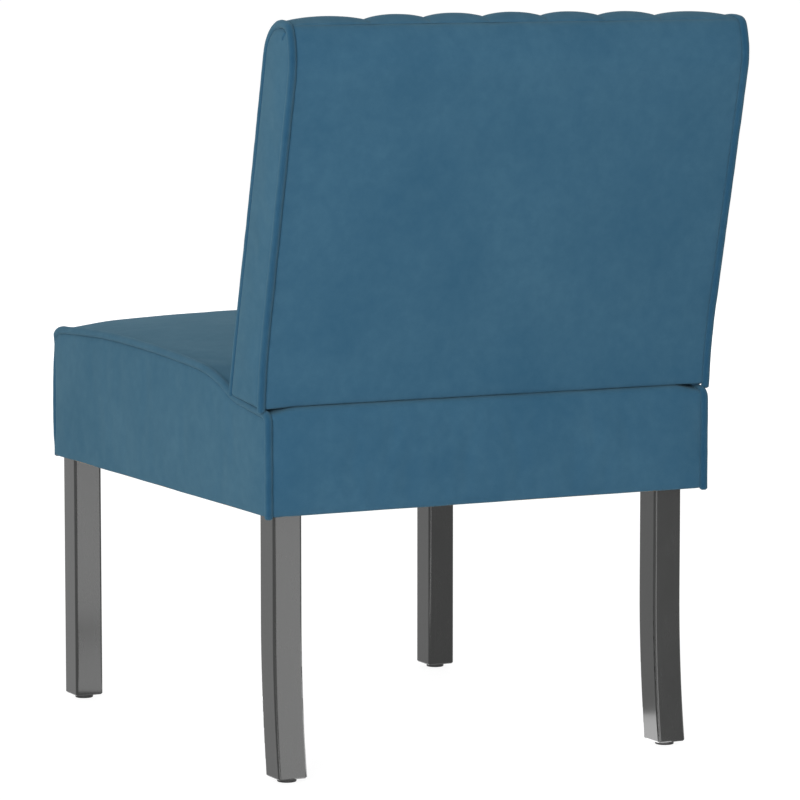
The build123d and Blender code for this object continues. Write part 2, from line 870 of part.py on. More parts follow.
def channel_section(n, w, angle, rise):
    """Panel cut square to its run, at a point whose outward direction has this angle."""
    out_n = cos(radians(angle))
    out_w = sin(radians(angle))
    out_y = out_w * sin(lean) - out_n * cos(lean)
    out_z = out_w * cos(lean) + out_n * sin(lean)
    plane = Plane(origin=back_point(0, n, w), x_dir=(1, 0, 0), z_dir=(0, -out_z, out_y))
    left = channel_edges[0]
    right = channel_edges[-1]
    edges = [Line((left, -channel_thickness), (left, 0))]
    for start, end in zip(channel_edges[:-1], channel_edges[1:]):
        edges.append(ThreePointArc((start, 0), ((start + end) / 2, rise), (end, 0)))
    edges.append(Line((right, 0), (right, -channel_thickness)))
    edges.append(Line((right, -channel_thickness), (left, -channel_thickness)))
    return plane * Face(Wire(edges))


bend_sections = []
for step in range(4):
    turn = radians(30 * step)
    step_rise = channel_rise + (channel_top_rise - channel_rise) * step / 3
    step_n = front_arc_n + back_top_radius * cos(turn)
    step_w = front_arc_w + back_top_radius * sin(turn)
    bend_sections.append(channel_section(step_n, step_w, 30 * step, step_rise))
bend_sections.append(channel_section(back_seam, back_top, 90, channel_seam_rise))
panel_low_w = foot_w(foam_front_n)
down_lean = (0, -sin(lean), -cos(lean))
panel_front = extrude(bend_sections[0], amount=front_arc_w - panel_low_w, dir=down_lean)
parts["back_channel_panel"] = panel_front + loft(bend_sections)


# Outline of the back's side, inset from its faces
def back_outline(inset):
    roll = back_roll_radius - inset
    end_roll = back_roll_end_radius - inset
    roll_angle = radians(back_roll_angle)
    half_angle = roll_angle / 2
    end_angle = (roll_angle + radians(90)) / 2
    roll_n = back_roll_radius
    roll_end = (roll_n - roll * cos(roll_angle), back_roll_start + roll * sin(roll_angle))
    end_n = back_seam
    end_w = back_top - back_roll_end_radius
    foot = (inset, foot_w(inset))
    roll_start = (inset, back_roll_start)
    roll_middle = (roll_n - roll * cos(half_angle), back_roll_start + roll * sin(half_angle))
    end_middle = (end_n - end_roll * cos(end_angle), end_w + end_roll * sin(end_angle))
    rear_edges = [
        Line(foot, roll_start),
        ThreePointArc(roll_start, roll_middle, roll_end),
        ThreePointArc(roll_end, end_middle, (back_seam, back_top - inset)),
    ]
    front, corner, top = bend(inset)
    return rear_edges, [Line(top @ 1, top @ 0), corner, front]


def back_side_face(inset):
    rear_edges, front_edges = back_outline(inset)
    foot_line = Line(rear_edges[0] @ 0, front_edges[2] @ 0)
    return Face(Wire(rear_edges + front_edges + [foot_line]))


side_face = back_side_face(welt_zone)
add_pair("back_cover", across(back_plane, side_face, (back_cover_inner_x, back_half)))
add_pair("back_wadding", across(back_plane, side_face, (stile_outer_x, back_cover_inner_x)))
rear_welt, front_welt = back_outline(welt_inset)
add_pair("back_welt", piping(rear_welt + front_welt, back_plane(back_half - welt_inset)))

# Rear cover of the back, rolled over its top
rear_outer = back_outline(0)[0]
rear_inner = back_outline(cover_thickness)[0]
rear_face = Face(
    Wire(
        rear_outer
        + rear_inner
        + [
            Line(rear_outer[0] @ 0, rear_inner[0] @ 0),
            Line(rear_outer[2] @ 1, rear_inner[2] @ 1),
        ]
    )
)
parts["back_cover_rear"] = across(back_plane, rear_face, (-back_panel_half, back_panel_half))

os.makedirs("parts", exist_ok=True)
for name, shape in parts.items():
    export_step(shape, f"parts/{name}.step")
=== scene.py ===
import json
from math import atan2, cos, hypot, pi, radians, remainder, sin, sqrt, tan

import bpy
import numpy as np
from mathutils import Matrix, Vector, noise


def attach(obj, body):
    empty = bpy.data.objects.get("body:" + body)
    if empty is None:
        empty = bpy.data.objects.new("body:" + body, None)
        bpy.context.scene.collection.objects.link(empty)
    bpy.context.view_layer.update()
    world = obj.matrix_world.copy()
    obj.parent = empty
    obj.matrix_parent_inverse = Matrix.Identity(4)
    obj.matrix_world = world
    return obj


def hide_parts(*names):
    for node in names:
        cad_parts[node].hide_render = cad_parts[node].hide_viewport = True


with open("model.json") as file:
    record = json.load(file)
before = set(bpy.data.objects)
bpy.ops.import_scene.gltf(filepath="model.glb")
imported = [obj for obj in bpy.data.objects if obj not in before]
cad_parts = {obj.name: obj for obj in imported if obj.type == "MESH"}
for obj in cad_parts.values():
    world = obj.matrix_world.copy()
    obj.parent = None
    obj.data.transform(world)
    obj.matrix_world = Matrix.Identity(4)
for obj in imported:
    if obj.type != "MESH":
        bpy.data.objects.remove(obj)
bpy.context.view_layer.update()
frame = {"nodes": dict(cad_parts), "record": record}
scene = bpy.context.scene
MILLIMETRE = 0.001

# Sizes of the seat, in millimetres. They follow the part's source, apart from a few soft forms
# (edge_rise, top_rise, channel_top_rise and welt_inset) that differ from it by a millimetre or two
seat_bottom = 290.5
seat_half = 268
seat_front_y = -338.9
seat_rear_y = 270.1
seat_edge_height = 445
front_roll = 45
front_bow = 5
edge_bow = 1
edge_rise = 5
front_lip = 3
front_rise = 9
top_rise = 4
edge_slope = 2.5
dip_start = (79.6, 438)
dip_slope = 24
dip_radius = 262
ledge_radius = 80
ledge_slope = 7.5
side_corner = 10
least_side_corner = 0.6
rail_top = 375.5
corner_reach = 26
corner_levels = (290, 320, 370, 400, 430)
corner_pulls = (4.2, 5.5, 5.5, 6, 6.5)
corner_droop = 3.4
droop_reach = 190
droop_width = 70
seat_top_tail = 46
seat_rear_tail = 14
seat_rear_roll = 7
rear_crown = 5.4
rear_crown_reach = 34

# Sizes of the back
back_half = 273.2
back_depth = 68
back_lean = 13.6
back_setback = 14.3
back_gap = 4.4
back_roll_start = 359
back_roll_radius = 85
back_roll_angle = 35
back_roll_end_radius = 9
least_roll_end_radius = 6
back_top_radius = 43
front_zone_start = 0.4
front_zone_run = 0.4
channel_seams = (-175, -105, -35, 35, 105, 175)
channel_rise = 10
channel_top_rise = 3.8
top_arch = 3.4
channel_hem_rise = 3
channel_fullness = 0.72
foot_flare = 8
foot_flare_height = 90
low_fullness = 3
low_fullness_height = 250

# Piping, seams and hems
welt_radius = 4.5
welt_inset = 1.4
seam_inset = 4
tuck_depth = 2.6
tuck_reach = 4.5
seat_side_tuck = (8, 4.2)
seat_front_tuck_share = 0.45
seat_front_tuck_reach = (70, 40)
back_side_tuck = (10, 5)
front_welt_pull = 1
front_pull_reach = 40
front_pull_run = 30
foot_welt_pull = 2
foot_pull_height = 325
foot_pull_run = 35
seat_welt_tail = 0.4
back_welt_tail = 1.6
back_front_push = 4.5
back_front_welt_pull = 3.5
back_front_tuck_share = 0.75
hem_radius = 3
hem_drop = 0.3
hem_flap = 10
hem_turns = (30, 60, 90)
hem_reach = 60
back_hem_fall = 2.5
rear_hem_falls = (-1.4, 0.2)
gap_opening = (238, 262)
cover_thickness = 2
top_seam_depth = 0.3
top_seam_reach = 4
top_seam_round = 15
stitch_depth = 1
pucker_width = 8
pucker_depth = 0.5
pucker_fall = 15

# Counts of points
panel_steps = 70
channel_steps = 12
channel_front_steps = 48
channel_bend_steps = 12
channel_top_steps = 5
seat_side_rows = 20
back_side_rows = 45
held_columns = 3
tuck_points = 6
hem_points = 4
hem_flap_steps = 2
seat_steps = (16, 8, 54, 10, 6)
seat_tail_steps = 6
seat_side_end_steps = (8, 4, 18)
seat_rear_steps = (14, 6, 2)
back_rear_steps = (36, 7, 4)
back_front_steps = (38, 10, 3)


def turned(angle):
    """Unit vector square to a line that falls to the rear by this angle."""
    return np.array((sin(radians(angle)), cos(radians(angle))))


lean = radians(back_lean)
ledge_angle = radians(ledge_slope)
dip_centre = np.array(dip_start) - turned(edge_slope) * dip_radius
ledge_centre = dip_centre + turned(dip_slope) * (dip_radius + ledge_radius)
ledge_start = ledge_centre - turned(ledge_slope) * ledge_radius


def ledge_z(y):
    return ledge_start[1] - (y - ledge_start[0]) * tan(ledge_angle)


back_foot_y = seat_rear_y - back_setback
back_foot_z = ledge_z(back_foot_y) + back_gap
roll_rise = sin(radians(back_roll_angle))
back_top = back_roll_start + back_roll_radius * roll_rise + back_roll_end_radius * (1 - roll_rise)
front_arc_n = back_depth - back_top_radius
front_arc_w = back_top - back_top_radius


def back_foot_w(n):
    """Lower end of the back at this depth from its rear face, along its lean."""
    return -n * tan(lean - ledge_angle)


def soft_step(value):
    """Soft step from nought to one."""
    share = np.clip(value, 0, 1)
    return share * share * (3 - 2 * share)


def toward_front(n):
    """Share of a place on the back that belongs to its front."""
    return soft_step((n / back_depth - front_zone_start) / front_zone_run)


def back_places(x, nw):
    """Points of the back, from X and from depth and height along the lean."""
    n, w = nw[..., 0], nw[..., 1]
    front_share = np.clip(n / back_depth, 0, 1)
    flare = foot_flare * np.clip(1 - w / foot_flare_height, 0, 1) ** 2
    push = back_front_push * toward_front(n)
    full = low_fullness * soft_step(1 - w / low_fullness_height) * front_share
    n = n + push - flare * (1 - front_share) + full
    y = back_foot_y + w * sin(lean) - n * cos(lean)
    z = back_foot_z + w * cos(lean) + n * sin(lean)
    return np.stack([np.broadcast_to(x, y.shape), y, z], axis=-1)


def corner_pull(x, y, z):
    """How far the covers' tension draws the seat's front corners in."""
    front = soft_step((seat_front_y + corner_reach - y) / corner_reach)
    beside = soft_step((np.abs(x) - seat_half + corner_reach) / corner_reach)
    return front * beside * np.interp(z, corner_levels, corner_pulls)


def seat_places(x, yz):
    """Points of the seat, from X and from rows of Y and Z, with its front corners drawn in and down."""
    y, z = yz[..., 0], yz[..., 1]
    x = np.broadcast_to(x, y.shape)
    pull = corner_pull(x, y, z)
    forward = soft_step((seat_front_y + droop_reach - y) / droop_reach)
    beside = soft_step((np.abs(x) - seat_half + droop_width) / droop_width)
    high = soft_step((z - rail_top) / (seat_edge_height - rail_top))
    droop = corner_droop * forward * beside * high
    return np.stack([x - np.sign(x) * pull, y + pull, z - droop], axis=-1)


# Lines and arcs as rows of points
def line(start, end, steps):
    return np.linspace(start, end, steps + 1)


def arc(start, middle, end, steps):
    """Points on the circle through three points."""
    (ax, ay), (bx, by), (cx, cy) = start, middle, end
    a, b, c = ax * ax + ay * ay, bx * bx + by * by, cx * cx + cy * cy
    span = 2 * (ax * (by - cy) + bx * (cy - ay) + cx * (ay - by))
    centre_x = (a * (by - cy) + b * (cy - ay) + c * (ay - by)) / span
    centre_y = (a * (cx - bx) + b * (ax - cx) + c * (bx - ax)) / span
    angles = [atan2(y - centre_y, x - centre_x) for x, y in (start, middle, end)]
    sweep = remainder(angles[1] - angles[0], 2 * pi) + remainder(angles[2] - angles[1], 2 * pi)
    turns = angles[0] + sweep * np.linspace(0, 1, steps + 1)
    radius = hypot(ax - centre_x, ay - centre_y)
    return np.stack([centre_x + radius * np.cos(turns), centre_y + radius * np.sin(turns)], axis=-1)


def fillet(centre, radius, first, last, steps):
    """Points on a circle from one angle to another, in degrees."""
    turns = np.radians(np.linspace(first, last, steps + 1))
    return np.stack([centre[0] + radius * np.cos(turns), centre[1] + radius * np.sin(turns)], axis=-1)


def joined(*runs):
    """One row of points from runs that each start where the last one ends."""
    return np.concatenate([runs[0]] + [run[1:] for run in runs[1:]])


# Outlines, each with the same count of points at every inset
def seat_front_and_top(inset, crown):
    """Front, front roll and crowned top of the seat, down its dip to the ledge, as runs of Y and Z."""
    front_y = seat_front_y + inset
    lip_y = front_y - front_lip * crown
    roll = front_roll - inset
    roll_z = seat_edge_height + front_rise * crown - front_roll
    foot = (front_y, seat_bottom - hem_drop + hem_radius)
    bow = (front_y - edge_bow - front_bow * crown, (seat_bottom + roll_z) / 2)
    roll_end = (lip_y + roll, roll_z + roll)
    start = np.array(dip_start) - turned(edge_slope) * inset
    top_middle = (
        (roll_end[0] + start[0]) / 2,
        (roll_end[1] + start[1]) / 2 + edge_rise + top_rise * crown,
    )
    dip = dip_radius - inset
    ledge = ledge_radius + inset
    front_steps, roll_steps, top_steps, dip_steps, ledge_steps = seat_steps
    return [
        arc(foot, bow, (lip_y, roll_z), front_steps),
        fillet((lip_y + roll, roll_z), roll, 180, 90, roll_steps),
        arc(roll_end, top_middle, start, top_steps),
        fillet(dip_centre, dip, 90 - edge_slope, 90 - dip_slope, dip_steps),
        fillet(ledge_centre, ledge, 270 - dip_slope, 270 - ledge_slope, ledge_steps),
    ]


def seat_side_outline(inset):
    """Front foot, over the top, round the rear corner, to the rear foot."""
    rear_y = seat_rear_y - inset
    radius = max(side_corner - inset, least_side_corner)
    reach = radius * tan((pi / 2 - ledge_angle) / 2)
    end_z = ledge_z(seat_rear_y) - inset * (1 / cos(ledge_angle) - tan(ledge_angle))
    runs = seat_front_and_top(inset, 0)
    corner_from = (rear_y - reach * cos(ledge_angle), end_z + reach * sin(ledge_angle))
    corner_centre = (rear_y - radius, end_z - reach)
    foot = (rear_y, seat_bottom - hem_drop + hem_radius)
    ledge_steps, corner_steps, rear_steps = seat_side_end_steps
    return joined(
        *runs,
        line(runs[-1][-1], corner_from, ledge_steps),
        fillet(corner_centre, radius, 90 - ledge_slope, 0, corner_steps),
        line((rear_y, end_z - reach), foot, rear_steps),
    )


def back_rear_runs(inset):
    """Rear plane, roll and end bend of the back up to its top seam, as runs of depth and height."""
    roll = back_roll_radius - inset
    end_roll = max(back_roll_end_radius - inset, least_roll_end_radius)
    rise = back_top - inset - end_roll - back_roll_start
    end_n = back_roll_radius - sqrt((roll - end_roll) ** 2 - rise**2)
    end_w = back_top - inset - end_roll
    angle = 180 - np.degrees(atan2(rise, back_roll_radius - end_n))
    foot = (inset, back_foot_w(inset) + hem_radius)
    plane_steps, roll_steps, end_steps = back_rear_steps
    return [
        line(foot, (inset, back_roll_start), plane_steps),
        fillet((back_roll_radius, back_roll_start), roll, 180, angle, roll_steps),
        fillet((end_n, end_w), end_roll, angle, 90, end_steps),
    ]


def back_side_outline(inset):
    """Front foot of the back, up its front, over its top, to its rear foot."""
    front_n = back_depth - inset
    rear = joined(*back_rear_runs(inset))[::-1]
    top_end = (front_arc_n, back_top - inset)
    foot = (front_n, back_foot_w(front_n) + hem_radius - back_hem_fall)
    front_steps, bend_steps, top_steps = back_front_steps
    return joined(
        line(foot, (front_n, front_arc_w), front_steps),
        fillet((front_arc_n, front_arc_w), back_top_radius - inset, 0, 90, bend_steps),
        line(top_end, rear[0], top_steps),
        rear,
    )


# Meshes
def grid_faces(numbers):
    """Quads between neighbouring rows and columns of vertex numbers."""
    corners = (numbers[:-1, :-1], numbers[1:, :-1], numbers[1:, 1:], numbers[:-1, 1:])
    return np.stack(corners, axis=-1).reshape(-1, 4)


def make_object(name, points, faces, outward=None):
    """Mesh object from points in millimetres, its faces turned to the outward direction."""
    faces = np.asarray(faces)
    if outward is not None:
        corners = points[faces]
        normals = np.cross(corners[:, 2] - corners[:, 0], corners[:, 3] - corners[:, 1])
        if normals.sum(axis=0) @ np.array(outward) < 0:
            faces = faces[:, ::-1]
    mesh = bpy.data.meshes.new(name)
    mesh.from_pydata((points * MILLIMETRE).tolist(), [], faces.tolist())
    made = bpy.data.objects.new(name, mesh)
    scene.collection.objects.link(made)
    return made


def points_of(mesh):
    values = np.empty(len(mesh.vertices) * 3)
    mesh.vertices.foreach_get("co", values)
    return values.reshape(-1, 3) / MILLIMETRE


def normals_of(mesh):
    values = np.empty(len(mesh.vertices) * 3)
    mesh.vertex_normals.foreach_get("vector", values)
    return values.reshape(-1, 3)


def set_points(mesh, points):
    mesh.vertices.foreach_set("co", (points * MILLIMETRE).ravel())
    mesh.update()


def apply_modifiers(piece):
    """Replace the mesh by its modified one and drop the modifiers."""
    graph = bpy.context.evaluated_depsgraph_get()
    mesh = bpy.data.meshes.new_from_object(piece.evaluated_get(graph))
    piece.modifiers.clear()
    old = piece.data
    piece.data = mesh
    bpy.data.meshes.remove(old)


# How a cover sinks into a piped seam: distances from the seam and depths under the cover's plane
tuck_turns = np.linspace(0, pi / 2, tuck_points)
tuck_distances = tuck_reach * (1 - np.cos(tuck_turns))
tuck_depths = tuck_depth * (1 - np.sin(tuck_turns))


def sink(distance, reach, depth):
    """Depth at a distance from a seam, round as the edge of a stuffed cover."""
    share = np.clip(1 - np.abs(distance) / reach, 0, 1)
    return depth * (1 - np.sqrt(1 - share**2))


def panel_columns(half, steps):
    """X places across a cover between two piped seams."""
    left = half - tuck_distances
    middle = np.linspace(left[-1], -left[-1], steps + 1)
    return np.concatenate([left, middle[1:-1], -left[::-1]])


def panel_depths(half, xs):
    """How deep a cover lies at X places across it."""
    return np.interp(np.abs(xs), half - tuck_distances[::-1], tuck_depths[::-1])


def held_rim(grid, first_rows, last_rows):
    """Points that the simulation holds: along both piped seams and at both ends of the rows."""
    held = np.zeros(grid.shape[:2], dtype=bool)
    held[:held_columns] = held[-held_columns:] = True
    held[:, :first_rows] = held[:, -last_rows:] = True
    return held


def hem_runs(foot, out, down):
    """Round and flap of a hem that turns under, from its flap's end up to the foot of the cover."""
    out, down = np.array(out), np.array(down)
    centre = foot - out * hem_radius
    turns = np.radians(np.linspace(90, 0, hem_points))
    bend = np.stack([centre + hem_radius * (out * cos(t) + down * sin(t)) for t in turns])
    return joined(line(bend[0] - out * hem_flap, bend[0], hem_flap_steps), bend)


class Cover:
    """An upholstered cover: its points, quads, points held in the simulation and seams beside it."""

    def __init__(self, name, points, faces, held, outward, seams, fullness):
        self.piece = make_object(name, points, faces, outward)
        self.held = held
        self.seams = seams
        self.fullness = fullness


def grid_cover(name, grid, held, outward, fullness):
    """Cover of rows and columns of points, with a piped seam along its first and last column."""
    numbers = np.arange(grid.shape[0] * grid.shape[1]).reshape(grid.shape[:2])
    seams = [grid[0], grid[-1]]
    return Cover(name, grid.reshape(-1, 3), grid_faces(numbers), held.ravel(), outward, seams, fullness)


def side_cover(name, outline, places, half, side_tuck, tuck_share, side, rows, fullness):
    """Cover of one side: a band that sinks into the piped seam, filled by a patch and hemmed below."""
    reach, sunk = side_tuck
    side_distances = reach * (1 - np.cos(tuck_turns))
    side_depths = sunk * (1 - np.sin(tuck_turns))
    insets = seam_inset + side_distances
    rings = np.stack([outline(inset) for inset in insets])
    band_count, length = rings.shape[:2]
    columns = length - 1 - 2 * rows
    inner = rings[-1]
    front, top, rear = inner[: rows + 1], inner[rows : rows + columns + 1], inner[rows + columns :][::-1]
    bottom = line(front[0], rear[0], columns)
    u = np.linspace(0, 1, columns + 1)[:, None, None]
    v = np.linspace(0, 1, rows + 1)[None, :, None]
    patch = (
        (1 - v) * bottom[:, None]
        + v * top[:, None]
        + (1 - u) * front[None]
        + u * rear[None]
        - (1 - u) * (1 - v) * front[0]
        - u * (1 - v) * rear[0]
        - (1 - u) * v * front[-1]
        - u * v * rear[-1]
    )
    ring_depth = (side_depths[:, None] * tuck_share(rings[..., 0])).ravel()
    ring_numbers = np.arange(band_count * length).reshape(band_count, length)
    numbers = np.empty((columns + 1, rows + 1), dtype=int)
    fresh = patch[1:-1, :-1]
    fresh_count = fresh.shape[0] * fresh.shape[1]
    numbers[1:-1, :-1] = band_count * length + np.arange(fresh_count).reshape(fresh.shape[:2])
    numbers[0] = ring_numbers[-1, : rows + 1]
    numbers[:, rows] = ring_numbers[-1, rows : rows + columns + 1]
    numbers[-1] = ring_numbers[-1, rows + columns :][::-1]
    flat = np.concatenate([rings.reshape(-1, 2), fresh.reshape(-1, 2)])
    depth = np.concatenate([ring_depth, np.zeros(fresh_count)])
    foot = np.concatenate([ring_numbers[:-1, 0], numbers[:, 0], ring_numbers[:-1, -1][::-1]])
    hem = [foot]
    hem_flat, hem_depth = [], []
    count = len(flat)
    hem_moves = [(hem_radius * (1 - cos(turn)), hem_radius * sin(turn)) for turn in np.radians(hem_turns)]
    hem_moves.append((hem_radius + hem_flap, hem_radius))
    for inward, fall in hem_moves:
        hem_flat.append(flat[foot] - np.array((0, fall)))
        hem_depth.append(depth[foot] + inward)
        hem.append(count + np.arange(len(foot)))
        count += len(foot)
    flat = np.concatenate([flat] + hem_flat)
    depth = np.concatenate([depth] + hem_depth)
    faces = np.concatenate([grid_faces(part) for part in (ring_numbers, numbers, np.stack(hem))])
    points = places(side * (half - depth), flat)
    held = np.ones(len(points), dtype=bool)
    held[ring_numbers[held_columns:, 1:-1].ravel()] = False
    held[numbers[1:-1, 1:].ravel()] = False
    seam = points[ring_numbers[0]]
    return Cover(name, points, faces, held, (side, 0, 0), [seam], fullness)


# Seat cover over the front and the top
def seat_top_cover():
    half = seat_half - seam_inset
    xs = panel_columns(half, panel_steps)
    columns = []
    for x, depth in zip(xs, panel_depths(half, xs)):
        crown = 1 - (x / half) ** 2
        runs = seat_front_and_top(depth, crown)
        hem = hem_runs(runs[0][0], (-1, 0), (0, -1))
        ledge_end = runs[-1][-1] + np.array((cos(ledge_angle), -sin(ledge_angle))) * seat_top_tail
        tail = line(runs[-1][-1], ledge_end, seat_tail_steps)
        columns.append(seat_places(x, joined(hem, *runs, tail)))
    grid = np.stack(columns)
    held = held_rim(grid, first_rows=7, last_rows=12)
    return grid_cover("seat_top_pad", grid, held, outward=(0, -1, 1), fullness=4)


# Rear of the seat, rolled onto the ledge under the back
def seat_rear_cover():
    half = seat_half - seam_inset
    xs = panel_columns(half, panel_steps)
    roll = seat_rear_roll
    rise_steps, roll_steps, tail_steps = seat_rear_steps
    columns = []
    for x, depth in zip(xs, panel_depths(half, xs)):
        rear_y = seat_rear_y - depth
        reach = roll * tan((pi / 2 - ledge_angle) / 2)
        end_z = ledge_z(seat_rear_y) - depth * (1 / cos(ledge_angle) - tan(ledge_angle))
        end_z += rear_crown * soft_step((half - abs(x)) / rear_crown_reach)
        foot = np.array((rear_y, seat_bottom - hem_drop + hem_radius))
        bend = fillet((rear_y - roll, end_z - reach), roll, 0, 90 - ledge_slope, roll_steps)
        ledge_end = bend[-1] + np.array((-cos(ledge_angle), sin(ledge_angle))) * seat_rear_tail
        hem = hem_runs(foot, (1, 0), (0, -1))
        tail = line(bend[-1], ledge_end, tail_steps)
        rows = joined(hem, line(foot, bend[0], rise_steps), bend, tail)
        columns.append(seat_places(x, rows))
    grid = np.stack(columns)
    held = held_rim(grid, first_rows=6, last_rows=8)
    return grid_cover("seat_rear_pad", grid, held, outward=(0, 1, 0), fullness=2.5)


# Rear of the back, rolled over to the top seam
def back_rear_cover():
    half = back_half - seam_inset
    xs = panel_columns(half, panel_steps)
    columns = []
    for x, depth in zip(xs, panel_depths(half, xs)):
        runs = back_rear_runs(depth)
        hem = hem_runs(runs[0][0], (-1, 0), (0, -1))
        rows = joined(hem, *runs)
        low = np.clip(1 - rows[:, 1] / hem_reach, 0, 1)
        rows[:, 1] -= low * np.interp(x, gap_opening, rear_hem_falls)
        to_seam = np.hypot(*(rows - rows[-1]).T)
        rows[:, 1] -= sink(to_seam, top_seam_reach, top_seam_depth)
        dent = sum(np.exp(-(((x - seam) / pucker_width) ** 2)) for seam in channel_seams)
        rows[:, 1] -= pucker_depth * dent * np.exp(-to_seam / pucker_fall)
        columns.append(back_places(x, rows))
    grid = np.stack(columns)
    held = held_rim(grid, first_rows=6, last_rows=4)
    return grid_cover("back_rear_pad", grid, held, outward=(0, 1, 0), fullness=3)


# Channelled front of the back, over its top to the seam
def channel_cover():
    half = back_half - seam_inset
    edges = [-half, *channel_seams, half]
    xs = set()
    for low, high in zip(edges[:-1], edges[1:]):
        spread = np.cos(np.linspace(0, pi, channel_steps + 1))
        xs.update(np.round((low + high) / 2 - (high - low) / 2 * spread, 3))
    xs.update(np.round(half - tuck_distances, 3))
    xs.update(np.round(tuck_distances - half, 3))
    xs = np.array(sorted(xs))
    lobe = np.zeros_like(xs)
    for low, high in zip(edges[:-1], edges[1:]):
        inside = (xs >= low) & (xs <= high)
        place = (2 * xs[inside] - low - high) / (high - low)
        lobe[inside] = np.clip(1 - place**2, 0, 1) ** channel_fullness
    stitches = np.isin(xs, channel_seams)
    edge_sink = sink(half - np.abs(xs), tuck_reach, tuck_depth)

    foot = np.array((back_depth, back_foot_w(back_depth) + hem_radius - back_hem_fall))
    hem = hem_runs(foot, (1, 0), (0, -1))
    front = line(foot, (back_depth, front_arc_w), channel_front_steps)
    bend = fillet((front_arc_n, front_arc_w), back_top_radius, 0, 90, channel_bend_steps)
    seam_n = back_rear_runs(0)[-1][-1][0]
    top = line(bend[-1], (seam_n, back_top), channel_top_steps)
    rows = joined(hem, front, bend, top)
    turns = np.zeros(len(rows))
    turns[: len(hem)] = np.concatenate([[-90, -90], np.linspace(-90, 0, len(hem) - 2)])
    bend_turns = np.linspace(0, 90, channel_bend_steps + 1)
    top_turns = np.full(channel_top_steps, 90)
    turns[len(hem) + channel_front_steps - 1 :] = np.concatenate([bend_turns, top_turns])
    out = np.stack([np.cos(np.radians(turns)), np.sin(np.radians(turns))], axis=-1)
    rise = np.interp(turns, (-90, 0, 90), (channel_hem_rise, channel_rise, channel_top_rise))
    to_seam = np.hypot(*(rows - rows[-1]).T)
    rise *= 1 - np.clip(1 - to_seam / top_seam_round, 0, 1) ** 2
    seam_sink = sink(to_seam, top_seam_reach, top_seam_depth)
    dent = pucker_depth * stitches[:, None] * np.exp(-to_seam / pucker_fall)[None]
    stitch_sink = stitch_depth * stitches[:, None] * (1 - soft_step(turns / 90))[None]
    height = lobe[:, None] * rise[None] - edge_sink[:, None] - stitch_sink - seam_sink[None] - dent
    arch = top_arch * soft_step(turns / 90) * (1 - np.clip(1 - to_seam / top_seam_round, 0, 1) ** 2)
    height += arch[None] * (1 - (xs / half) ** 2)[:, None]
    nw = rows[None] + out[None] * height[..., None]
    grid = back_places(xs[:, None], nw)
    held = held_rim(grid, first_rows=6, last_rows=4)
    held[stitches] = True
    return grid_cover("back_front_pad", grid, held, outward=(0, -1, 0.3), fullness=2.5)


def both_side_covers(name, outline, places, half, side_tuck, tuck_share, rows, fullness):
    return [
        side_cover(name + "_left", outline, places, half, side_tuck, tuck_share, 1, rows, fullness),
        side_cover(name + "_right", outline, places, half, side_tuck, tuck_share, -1, rows, fullness),
    ]


def seat_tuck_share(y):
    """The seat's side covers sink less along their front edge, where the rail's corner is near."""
    reach, run = seat_front_tuck_reach
    return 1 - (1 - seat_front_tuck_share) * soft_step((seat_front_y + reach - y) / run)


def back_tuck_share(n):
    """The back's side covers sink less along their front edge."""
    return 1 - (1 - back_front_tuck_share) * toward_front(n)


covers = [seat_top_cover(), seat_rear_cover(), back_rear_cover(), channel_cover()]
covers += both_side_covers(
    "seat_side_pad",
    seat_side_outline,
    seat_places,
    seat_half,
    seat_side_tuck,
    seat_tuck_share,
    seat_side_rows,
    fullness=3,
)
covers += both_side_covers(
    "back_side_pad",
    back_side_outline,
    back_places,
    back_half,
    back_side_tuck,
    back_tuck_share,
    back_side_rows,
    fullness=2,
)


# Stuffing: the covers are blown out by cloth simulation between their held seams
simulation_frames = 20


def start_simulation(cover):
    group = cover.piece.vertex_groups.new(name="held")
    group.add(np.flatnonzero(cover.held).tolist(), 1, "REPLACE")
    cloth = cover.piece.modifiers.new("stuffing", "CLOTH")
    cloth.settings.vertex_group_mass = "held"
    cloth.settings.quality = 5
    cloth.settings.tension_stiffness = 15
    cloth.settings.compression_stiffness = 15
    cloth.settings.shear_stiffness = 8
    cloth.settings.bending_stiffness = 1
    cloth.settings.shrink_min = -0.01
    cloth.settings.use_pressure = True
    cloth.settings.uniform_pressure_force = 4
    cloth.settings.effector_weights.gravity = 0
    cloth.point_cache.frame_start = 1
    cloth.point_cache.frame_end = simulation_frames


def swollen_points(cover, graph):
    """Points of the simulated form, with its largest movement brought to the cover's fullness."""
    mesh = cover.piece.data
    rest = points_of(mesh)
    moved = points_of(cover.piece.evaluated_get(graph).data) - rest
    normals = normals_of(mesh)
    swelling = np.einsum("ij,ij->i", moved, normals)
    swelling *= cover.fullness / max(swelling.max(), 1e-6)
    swelling[cover.held] = 0
    return rest + normals * np.maximum(swelling, 0)[:, None]


for cover in covers:
    start_simulation(cover)
for step in range(1, simulation_frames + 1):
    scene.frame_set(step)
graph = bpy.context.evaluated_depsgraph_get()
swollen = [swollen_points(cover, graph) for cover in covers]
for cover, points in zip(covers, swollen):
    cover.piece.modifiers.clear()
    cover.piece.vertex_groups.clear()
    set_points(cover.piece.data, points)
scene.frame_set(1)


# Small folds beside the seams, slow waves in the cloth, and the closed back of each cover
pucker_height = 0.7
pucker_reach = 11
pucker_start = 6
pucker_run = 8
seam_calm_reach = 8
slow_fold_length = 17
quick_fold_length = 7
quick_fold_share = 0.5
wave_height = 0.5
wave_length = 70
rim_angle = 70
points_at_once = 3000
seam_refinement = 4


